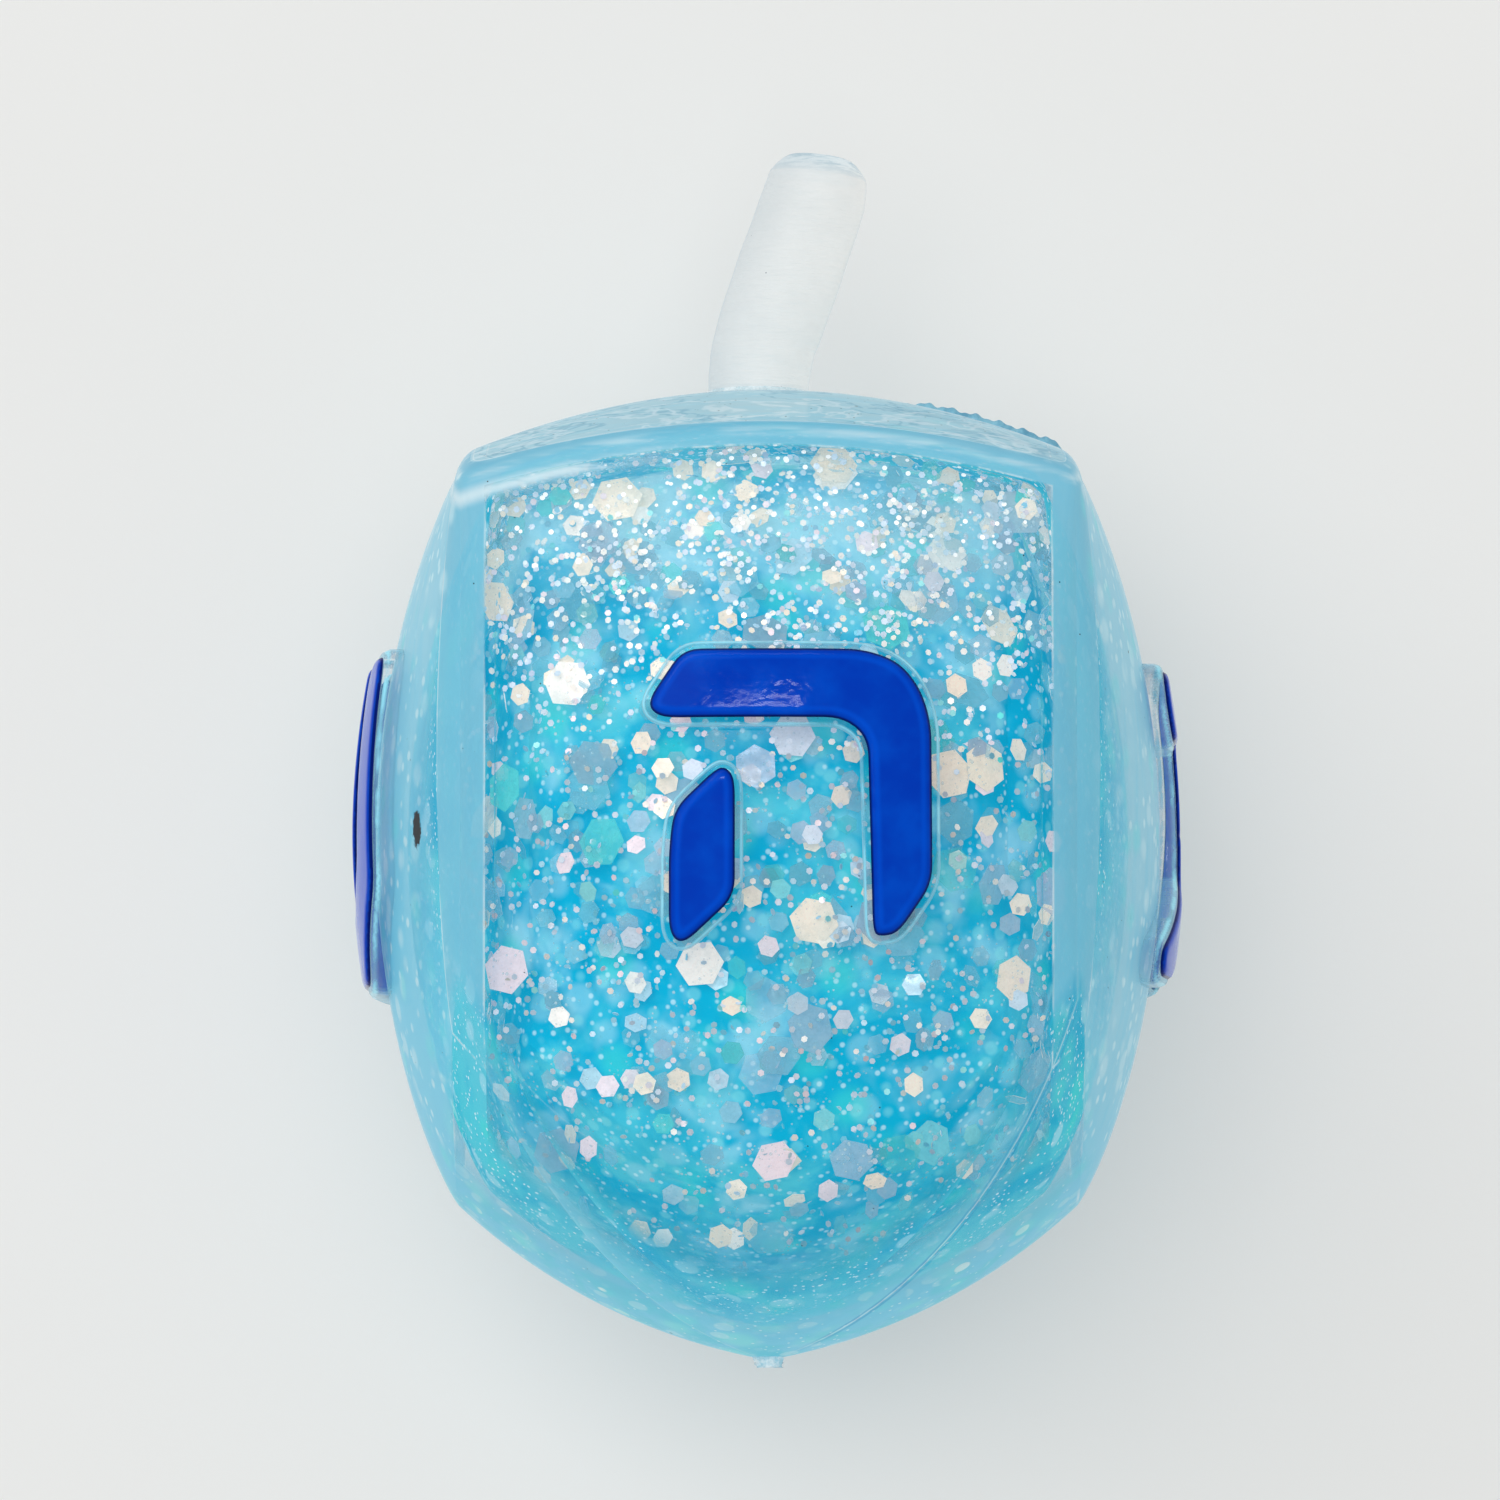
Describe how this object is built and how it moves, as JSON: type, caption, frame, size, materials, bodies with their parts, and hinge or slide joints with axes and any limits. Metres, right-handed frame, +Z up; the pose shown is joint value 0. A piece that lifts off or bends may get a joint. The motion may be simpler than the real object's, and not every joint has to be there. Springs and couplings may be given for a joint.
{
  "type": "dreidel",
  "caption": "Soft clear four-sided spinning top filled with tinted liquid and glitter, with raised painted letters, a pointed turned base and a bent rod stem.",
  "frame": {"origin": "on the table, under the middle of the part's box as it lies on its back face", "axes": "+X to the right of the front face, +Y along the spin axis from the tip to the stem, +Z up out of the front face"},
  "size_m": [0.0519, 0.0762, 0.0507],
  "materials": {
    "clear_skin": "clear gloss thermoplastic rubber",
    "tinted_liquid": "clear blue water",
    "glitter_film": "iridescent film",
    "stem_rubber": "frosted translucent rubber",
    "clear_bond": "clear gloss",
    "blue_paint": "gloss enamel"
  },
  "bodies": {
    "root": {"shell": "clear_skin", "liquid_fill": "tinted_liquid", "glitter_large": "glitter_film", "glitter_medium": "glitter_film", "glitter_fine": "glitter_film", "stem": "stem_rubber", "stem_bond": "clear_bond", "gate_nub": "clear_skin", "pad_hei": "clear_skin", "pad_gimel": "clear_skin", "pad_nun": "clear_skin", "pad_shin": "clear_skin", "paint_hei": "blue_paint", "paint_gimel": "blue_paint", "paint_nun": "blue_paint", "paint_shin": "blue_paint"}
  },
  "joints": []
}
